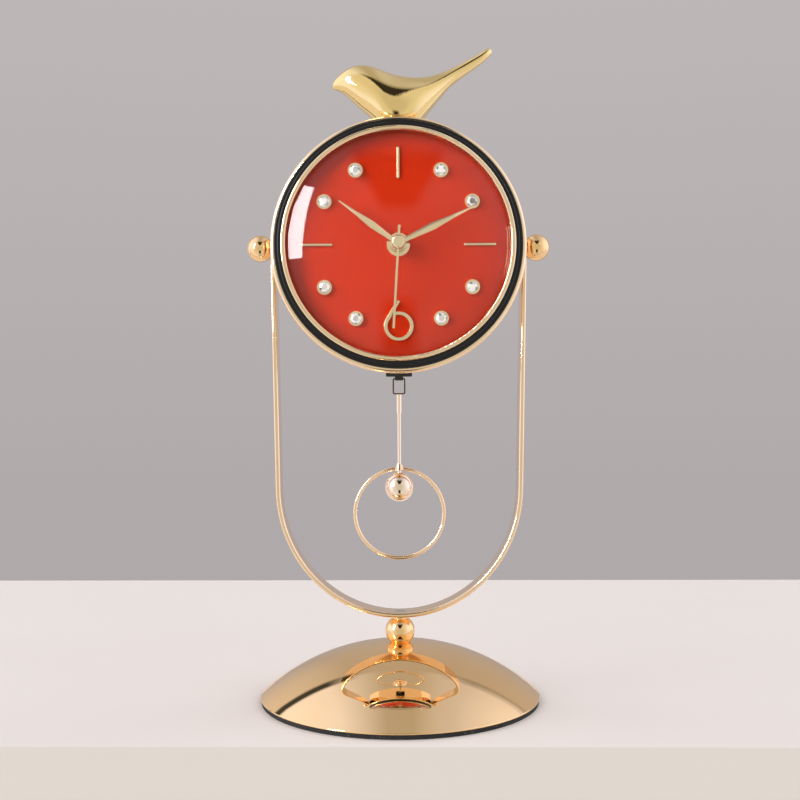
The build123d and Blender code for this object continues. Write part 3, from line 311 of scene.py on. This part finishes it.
# Dial: a steel disc in tomato red lacquer, polished flat, bare zinc plate on its back, held by
# the nut of the movement.
dial_low, dial_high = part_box("dial")
axis_z = (dial_low.z + dial_high.z) / 2
red = Wire.start(bpy.data.materials.new("red_lacquer"))
red_mist = red.noise(scale=40.0, detail=4.0)
red_peel = red.noise(scale=700.0, detail=2.0)
red_dust = red.cells(scale=120.0).between(0.05, 0.02)
red_tone = red_mist.mix((0.515, 0.022, 0.002, 1), (0.55, 0.026, 0.003, 1))
bare_back = red.node("SeparateXYZ", {}, {"Vector": red}, "Y")
bare_back = bare_back.between(0.6 * dial_high.y + 0.4 * dial_low.y, 0.8 * dial_high.y + 0.2 * dial_low.y)
red_tone = red_dust.mix(red_tone, (0.68, 0.06, 0.02, 1))
dress("dial", red.surface({
    "Base Color": bare_back.mix(red_tone, (0.42, 0.43, 0.45, 1)),
    "Metallic": 0.9 * bare_back,
    "Roughness": 0.34 + 0.1 * red_peel,
    "Specular IOR Level": 0.05,
    "Normal": red_peel.bump(strength=0.02, depth=0.0001),
}))

# Washer, nut and centre bush that hold the dial: turned from brass and plated pale gold, as
# are the bushes of the head's pivots.
trim_gold = gold_plate(
    "trim_gold", (0.93, 0.79, 0.52, 1), (0.90, 0.74, 0.46, 1), gloss=0.08, haze_size=160.0, rub=0.0003,
)
for part in ("dial_washer", "dial_nut", "centre_bush", "pivot_bushes"):
    dress(part, trim_gold)

# Batons and the six: stamped from brass strip, tumbled until their edges are soft, plated
# pale gold and set on the dial on pegs.


def piece(name, shape, body, material, stands_for):
    """Closes a bmesh as a finished piece that rides on a body in place of solids of the frame."""
    mesh = bpy.data.meshes.new(name)
    shape.to_mesh(mesh)
    shape.free()
    mesh.materials.append(material)
    made = bpy.data.objects.new(name, mesh)
    bpy.context.scene.collection.objects.link(made)
    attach(made, body)
    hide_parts(stands_for)


def soften(shape, sharper_than):
    """Shades faces round, but for edges sharper than an angle."""
    for face in shape.faces:
        face.smooth = True
    for edge in shape.edges:
        edge.smooth = edge.is_manifold and edge.calc_face_angle() < radians(sharper_than)


def eased(node, width, segments):
    """A copy of a solid with its sharp edges rounded over."""
    shape = bmesh.new()
    shape.from_mesh(nodes[node].data)
    bmesh.ops.remove_doubles(shape, verts=shape.verts, dist=1e-6)
    flat = radians(2)
    steep = radians(50)
    bmesh.ops.dissolve_limit(shape, angle_limit=flat, verts=shape.verts, edges=shape.edges)
    sharp = [edge for edge in shape.edges if edge.is_manifold and edge.calc_face_angle() > steep]
    bmesh.ops.bevel(
        shape, geom=sharp, offset=width, segments=segments, profile=0.5, affect="EDGES", material=-1,
        clamp_overlap=True,
    )
    soften(shape, sharper_than=40)
    return shape


soft_bars = eased("baton_markers", width=0.0004, segments=3)
soft_six = eased("numeral_six", width=0.0005, segments=3)
piece("batons", soft_bars, "head", trim_gold, "baton_markers")
piece("six", soft_six, "head", trim_gold, "numeral_six")

# Stones: round brilliants of glass with foil behind them, ground facet by facet. Each is set
# in a turned cup of pale gold.
dress("stone_settings", trim_gold)
stone_low, stone_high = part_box("stones")
stone_radius = 0.0029
stone_circle = 0.045
stone_crown = 0.0008
stone_height = stone_high.y - stone_low.y
crown_slope = 0.72
facet_turns = 8
# Where a facet starts as a share of the radius, how steep it is, and its turn from the first
facet_kinds = ((1.0, 36, 0.0), (1.0, 42, 0.25), (1.0, 42, -0.25), (0.80, 24, 0.5))


def cut(shape, point, facing):
    """Grinds one flat facet."""
    ground = bmesh.ops.bisect_plane(
        shape, geom=shape.verts[:] + shape.edges[:] + shape.faces[:], dist=1e-7,
        plane_co=point, plane_no=facing, clear_outer=True,
    )
    rim = [part for part in ground["geom_cut"] if isinstance(part, bmesh.types.BMEdge)]
    if rim:
        bmesh.ops.contextual_create(shape, geom=rim)


gem = bmesh.new()
bmesh.ops.create_cone(
    gem, cap_ends=True, segments=32, radius1=stone_radius, radius2=stone_radius, depth=stone_height,
)
bmesh.ops.translate(gem, verts=gem.verts, vec=(0, 0, stone_height / 2))
crown_base = stone_height - stone_crown
for turn in range(facet_turns):
    for share, steepness, swing in facet_kinds:
        spin = tau * (turn + swing) / facet_turns
        tilt = radians(steepness)
        outward = Vector((cos(spin) * sin(tilt), sin(spin) * sin(tilt), cos(tilt)))
        level = crown_base + (1 - share) * stone_radius * crown_slope
        on_facet = Vector((cos(spin) * stone_radius * share, sin(spin) * stone_radius * share, level))
        cut(gem, on_facet, outward)
bmesh.ops.recalc_face_normals(gem, faces=gem.faces)
gem_mesh = bpy.data.meshes.new("gem")
gem.to_mesh(gem_mesh)
gem.free()
stones = bmesh.new()
for hour in (1, 2, 4, 5, 7, 8, 10, 11):
    clock = tau * hour / 12
    fresh = bmesh.new()
    fresh.from_mesh(gem_mesh)
    seat = Matrix.Translation((stone_circle * sin(clock), stone_high.y, axis_z + stone_circle * cos(clock)))
    bmesh.ops.transform(fresh, matrix=seat @ Matrix.Rotation(radians(90), 4, "X"), verts=fresh.verts)
    one = bpy.data.meshes.new("one_gem")
    fresh.to_mesh(one)
    fresh.free()
    stones.from_mesh(one)
facet_number = stones.faces.layers.float.new("facet")
stones.faces.index_update()
for face in stones.faces:
    face[facet_number] = face.index
foil = Wire.start(bpy.data.materials.new("foiled_glass"))
foil_tone = foil.noise(scale=900.0)
# Each facet gets a random base colour from dark to white: painted glints and painted dark reflections in
# the facets, with a little of the foil's noise mixed in.
facet = foil.node("Attribute", {"attribute_name": "facet"}, {}, "Fac")
painted_facet_glint = facet.node("TexWhiteNoise", {"noise_dimensions": "1D"}, {"W": facet})
painted_glint_tone = (painted_facet_glint + 0.1 * foil_tone).between(0.05, 0.5)
piece("brilliants", stones, "head", foil.surface({
    "Base Color": painted_glint_tone.mix((0.20, 0.18, 0.18, 1), (1.0, 0.99, 0.98, 1)),
    "Metallic": 0.45,
    "Roughness": 0.02 + 0.04 * foil_tone,
    "Coat Weight": 1.0,
    "Coat Roughness": 0.01,
    "Normal": foil_tone.bump(strength=0.02, depth=0.0001),
}), "stones")

# Hands: pressed from brass sheet with a raised ridge, plated pale gold and left satin. Each is
# pushed on its own tube or arbor by a round hub.


def outline(shape, corners):
    """A closed line through a few corners, as its edges."""
    points = [shape.verts.new(corner) for corner in corners]
    return [shape.edges.new((before, after)) for before, after in zip(points, points[1:] + points[:1])]


def ridged_hand(name, body, clock, length, width, hub, bore):
    """A leaf with a ridge nearer its upper edge, on a round hub."""
    low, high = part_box(body)
    thick = high.y - low.y
    shoulder = 0.35 * thick
    rounding = 0.0002
    root_half, belly_half, neck_half, tip_half = 0.00105, width / 2, 0.0009, 0.0003
    upper = -1 if clock < 180 else 1
    shape = bmesh.new()
    sections = []
    # How far out a section of the leaf is, half its width, and how far its ridge leans
    for reach, half, lean in (
        (0.6 * hub, root_half, 0.25), (0.45 * length, belly_half, 0.45),
        (0.72 * length, neck_half, 0.3), (length, tip_half, 0.0),
    ):
        sections.append(outline(shape, (
            (half, reach, 0), (half, reach, shoulder), (upper * lean * half, reach, thick),
            (-half, reach, shoulder), (-half, reach, 0),
        )))
    for near, far in zip(sections, sections[1:]):
        bmesh.ops.bridge_loops(shape, edges=near + far)
    bmesh.ops.contextual_create(shape, geom=sections[0])
    bmesh.ops.contextual_create(shape, geom=sections[-1])
    hoop = outline(shape, (
        (bore, 0, 0), (bore, 0, thick), (hub - rounding, 0, thick), (hub, 0, thick - rounding), (hub, 0, 0),
    ))
    ring = [edge.verts[0] for edge in hoop]
    bmesh.ops.spin(
        shape, geom=ring + hoop, cent=(0, 0, 0), axis=(0, 0, 1), angle=tau, steps=48, use_merge=True,
    )
    bmesh.ops.remove_doubles(shape, verts=shape.verts, dist=1e-7)
    bmesh.ops.recalc_face_normals(shape, faces=shape.faces)
    soften(shape, sharper_than=12)
    stand = Matrix.Translation((0, high.y, axis_z)) @ Matrix.Rotation(radians(clock), 4, "Y")
    bmesh.ops.transform(shape, matrix=stand @ Matrix.Rotation(radians(90), 4, "X"), verts=shape.verts)
    piece(name, shape, body, hand_gold, body)


hand_gold = gold_plate(
    "hand_gold", (0.93, 0.79, 0.52, 1), (0.90, 0.74, 0.46, 1), gloss=0.17, haze_size=220.0,
)
ridged_hand("hour_leaf", "hour_hand", clock=306.0, length=0.0385, width=0.0037, hub=0.0042, bore=0.0030)
ridged_hand(
    "minute_leaf", "minute_hand", clock=64.4, length=0.0447, width=0.0039, hub=0.0036, bore=0.0020,
)
dress("second_hand", hand_gold)

# Bezels: a turned ring with two rounded steps in black piano lacquer and, inside it, a plated
# ring that clamps the crystal on its seal.
black = Wire.start(bpy.data.materials.new("black_lacquer"))
black_peel = black.noise(scale=900.0, detail=2.0)
black_dust = black.cells(scale=160.0).between(0.06, 0.02)
black_edge = black.edges(reach=0.0003)
black_tone = black_dust.mix((0.008, 0.008, 0.009, 1), (0.04, 0.04, 0.042, 1))
dress("bezel_black", black.surface({
    "Base Color": black_edge.mix(black_tone, (0.03, 0.03, 0.032, 1)),
    "Roughness": 0.26 + 0.1 * black_peel,
    "Specular IOR Level": 0.3,
    "Normal": black_peel.bump(strength=0.015, depth=0.0001),
}))
bezel_plate = gold_plate(
    "bezel_gold_plate", (0.95, 0.75, 0.50, 1), (0.93, 0.70, 0.44, 1), gloss=0.03, haze_size=60.0,
)
dress("bezel_gold", bezel_plate)
seal = Wire.start(bpy.data.materials.new("black_seal"))
seal_bloom = seal.noise(scale=600.0)
dress("crystal_gasket", seal.surface({
    "Base Color": seal_bloom.mix((0.01, 0.01, 0.01, 1), (0.03, 0.03, 0.03, 1)),
    "Roughness": 0.5 + 0.3 * seal_bloom,
    "Normal": seal_bloom.bump(strength=0.2, depth=0.0002),
}))

# Crystal: a domed watch glass, ground and polished, clamped by the gold ring. Lamp rays pass
# through it straight, so that the dial isn't left dark.
glass = Wire.start(bpy.data.materials.new("watch_glass"))
wipe = glass.noise(scale=120.0, detail=4.0)
glass.surface({
    "Base Color": wipe.mix((0.985, 0.99, 0.985, 1), (1.0, 1.0, 1.0, 1)),
    "Roughness": 0.004 + 0.006 * wipe,
    "Transmission Weight": 1.0,
    "IOR": 1.31,
    "Normal": wipe.bump(strength=0.002, depth=0.0001),
})
glass_tree = glass.owner.node_tree
lamp_ray = glass.node("LightPath", {}, {}, "Is Shadow Ray")
clear = glass.node("BsdfTransparent", {}, {"Color": (0.97, 0.97, 0.97, 1)})
through = glass.node("MixShader", {}, {
    0: lamp_ray, 1: Wire(glass.owner, glass_tree.nodes["Principled BSDF"].outputs[0]), 2: clear,
})
glass_tree.links.new(through.socket, glass_tree.nodes["Material Output"].inputs["Surface"])
dress("crystal", glass.owner)

# Back cover: a black moulded disc with a window to the battery and the setting knob, held by
# three screws.
dress("back_cover", black_moulding)
dress("back_cover_screws", zinc_steel)

# Bird: a solid resin casting, smoothed, metallised bright gold and screwed down from inside
# the case.
bird_gold = gold_plate(
    "bird_gold", (0.93, 0.71, 0.33, 1), (0.91, 0.67, 0.28, 1), gloss=0.03, haze_size=45.0,
)
dress("bird", bird_gold)

# Pendulum: a bent strip loop on the hanger's hook, a pressed ferrule, a drawn rod, a turned
# collar, and a wire ring with a ball in its top.
rod_gold = gold_plate(
    "rod_gold", (0.97, 0.81, 0.66, 1), (0.95, 0.77, 0.60, 1), gloss=0.05, haze_size=120.0,
)
for part in ("pendulum_ferrule", "pendulum_rod", "pendulum_ball"):
    dress(part, rod_gold)
for part in ("pendulum_collar", "pendulum_ring"):
    dress(part, strap_gold)
strip = Wire.start(bpy.data.materials.new("loop_strip"))
# Near black on its faces and gold on its edges.
strip_edge_mask = strip.edges(reach=0.0003)
strip_smear = strip.noise(scale=500.0)
dress("pendulum_loop", strip.surface({
    "Base Color": strip_edge_mask.mix((0.06, 0.045, 0.032, 1), (0.92, 0.68, 0.40, 1)),
    "Metallic": 1.0,
    "Roughness": 0.16 + 0.2 * strip_smear,
    "Normal": strip_smear.bump(strength=0.02, depth=0.0001),
}))

# Table: a thick pale slab with a fine satin grain and slightly eased edges, on which the clock
# stands near the front edge.
table_back = 0.389
table_front = -0.083
table_depth = 0.07
table_width = 6.0
table_turn = radians(-1.15)
table_edge = 0.0012
table_middle = (0, (table_back + table_front) / 2, -table_depth / 2)
table_top = bmesh.new()
bmesh.ops.create_cube(table_top, size=1.0)
bmesh.ops.scale(table_top, vec=(table_width, table_back - table_front, table_depth), verts=table_top.verts)
bmesh.ops.translate(table_top, vec=table_middle, verts=table_top.verts)
bmesh.ops.rotate(
    table_top, cent=(0, 0, 0), matrix=Matrix.Rotation(table_turn, 3, "Z"), verts=table_top.verts,
)
bmesh.ops.bevel(
    table_top, geom=table_top.edges[:], offset=table_edge, segments=3, profile=0.5, affect="EDGES",
    material=-1,
)
table_mesh = bpy.data.meshes.new("table")
table_top.to_mesh(table_mesh)
table_top.free()
table = bpy.data.objects.new("table", table_mesh)
bpy.context.scene.collection.objects.link(table)
slab = Wire.start(bpy.data.materials.new("pale_table"))
slab_streak = slab.noise(scale=9.0)
slab_grain = slab.noise(scale=900.0)
table_mesh.materials.append(slab.surface({
    "Base Color": slab_streak.mix((0.86, 0.80, 0.785, 1), (0.89, 0.83, 0.81, 1)),
    "Roughness": 0.5 + 0.1 * slab_grain,
    "Normal": slab_grain.bump(strength=0.02, depth=0.0001),
}))

# Studio: a lit backdrop sheet behind the table with a dark hem on its left, white walls and a
# white ceiling, dim in its middle, and a softer front with a black flag above and below the camera.
# The camera sees the backdrop alone. Mirrored rays see dimmer walls, so that gold isn't burnt out.
sky = Wire.start(bpy.data.worlds.new("studio"), "Generated")
across = sky.node("SeparateXYZ", {}, {"Vector": sky}, "X")
aside = across.math("ABSOLUTE", across, 0.0)
behind = sky.node("SeparateXYZ", {}, {"Vector": sky}, "Y")
above = sky.node("SeparateXYZ", {}, {"Vector": sky}, "Z")
mirrored = sky.node("LightPath", {}, {}, "Is Glossy Ray")
backdrop = above.between(-0.1, 0.4).mix((0.43, 0.398, 0.405, 1), (0.52, 0.485, 0.485, 1))
sides = across.between(-0.2, 0.3).mix((0.84, 0.79, 0.79, 1), (0.58, 0.54, 0.54, 1))
sheet = aside.between(0.25, 0.65).mix(backdrop, sides)
white = across.between(0.05, 0.4).mix((0.96, 0.99, 1.24, 1), (0.70, 0.71, 0.86, 1))
bright = mirrored.mix((1.0, 0.98, 0.99, 1), white)
overhead = aside.between(0.10, 0.42).mix((0.52, 0.50, 0.495, 1), bright)
high_flag = (aside - 0.55 * above).between(-0.04, -0.14)
high_flag = high_flag * above.between(0.36, 0.46) * above.between(0.97, 0.76)
low_flag = aside.between(0.20, 0.08) * above.between(-0.30, -0.42) * above.between(-0.85, -0.7)
front = behind.between(-0.80, -0.95).mix((0.82, 0.79, 0.70, 1), (0.67, 0.64, 0.56, 1))
front = (high_flag + low_flag).mix(front, (0.04, 0.035, 0.03, 1))
room = behind.between(-0.35, -0.6).mix(overhead, front)
walls = (aside + 0.1 * behind + 0.2 * above).between(0.55, 0.95) ** 1.3
room = walls.mix(room, mirrored.mix((2.1, 2.1, 2.1, 1), (1.25, 1.24, 1.45, 1)))
room = behind.between(0.60, 0.63).mix(room, sheet)
hem = behind.between(0.56, 0.59) * behind.between(0.66, 0.63) * aside.between(0.22, 0.40)
studio = (hem * across.between(0.9, -0.3)).mix(room, (0.06, 0.065, 0.065, 1))
seen = sky.node("LightPath", {}, {}, "Is Camera Ray")
sky.plug(sky.owner.node_tree.nodes["Background"], {"Color": seen.mix(studio, backdrop)})
bpy.context.scene.world = sky.owner

# Strip lamp: a tall soft box on the left, in front of the clock. It shows as the white bar in
# the crystal and lays its light over the dial, and the room lights the rest.


def panel(name, place, aim, width, height, watts):
    """A soft panel of light that faces the clock."""
    lamp = bpy.data.lights.new(name, "AREA")
    lamp.shape = "RECTANGLE"
    lamp.size = width
    lamp.size_y = height
    lamp.energy = watts
    stand = bpy.data.objects.new(name, lamp)
    stand.location = place
    stand.rotation_euler = (Vector(aim) - Vector(place)).to_track_quat("-Z", "Y").to_euler()
    bpy.context.scene.collection.objects.link(stand)
    return stand


strip_lamp = panel(
    "strip_lamp", place=(-0.98, -0.72, 0.62), aim=(0, 0, 0.24), width=0.17, height=0.75, watts=13.5,
)
strip_lamp.visible_diffuse = False

# Camera: level with the pendulum and straight in front, turned by a quarter of a degree, as
# the photograph was taken.
eye = bpy.data.cameras.new("eye")
eye.lens = 49.5
eye.sensor_width = 36.0
viewer = bpy.data.objects.new("viewer", eye)
viewer.location = (0.0005, -0.5957, 0.1611)
viewer.rotation_euler = (radians(90), radians(0.25), 0)
bpy.context.scene.collection.objects.link(viewer)
bpy.context.scene.camera = viewer
bpy.context.scene.view_settings.view_transform = "Standard"

bpy.context.view_layer.update()
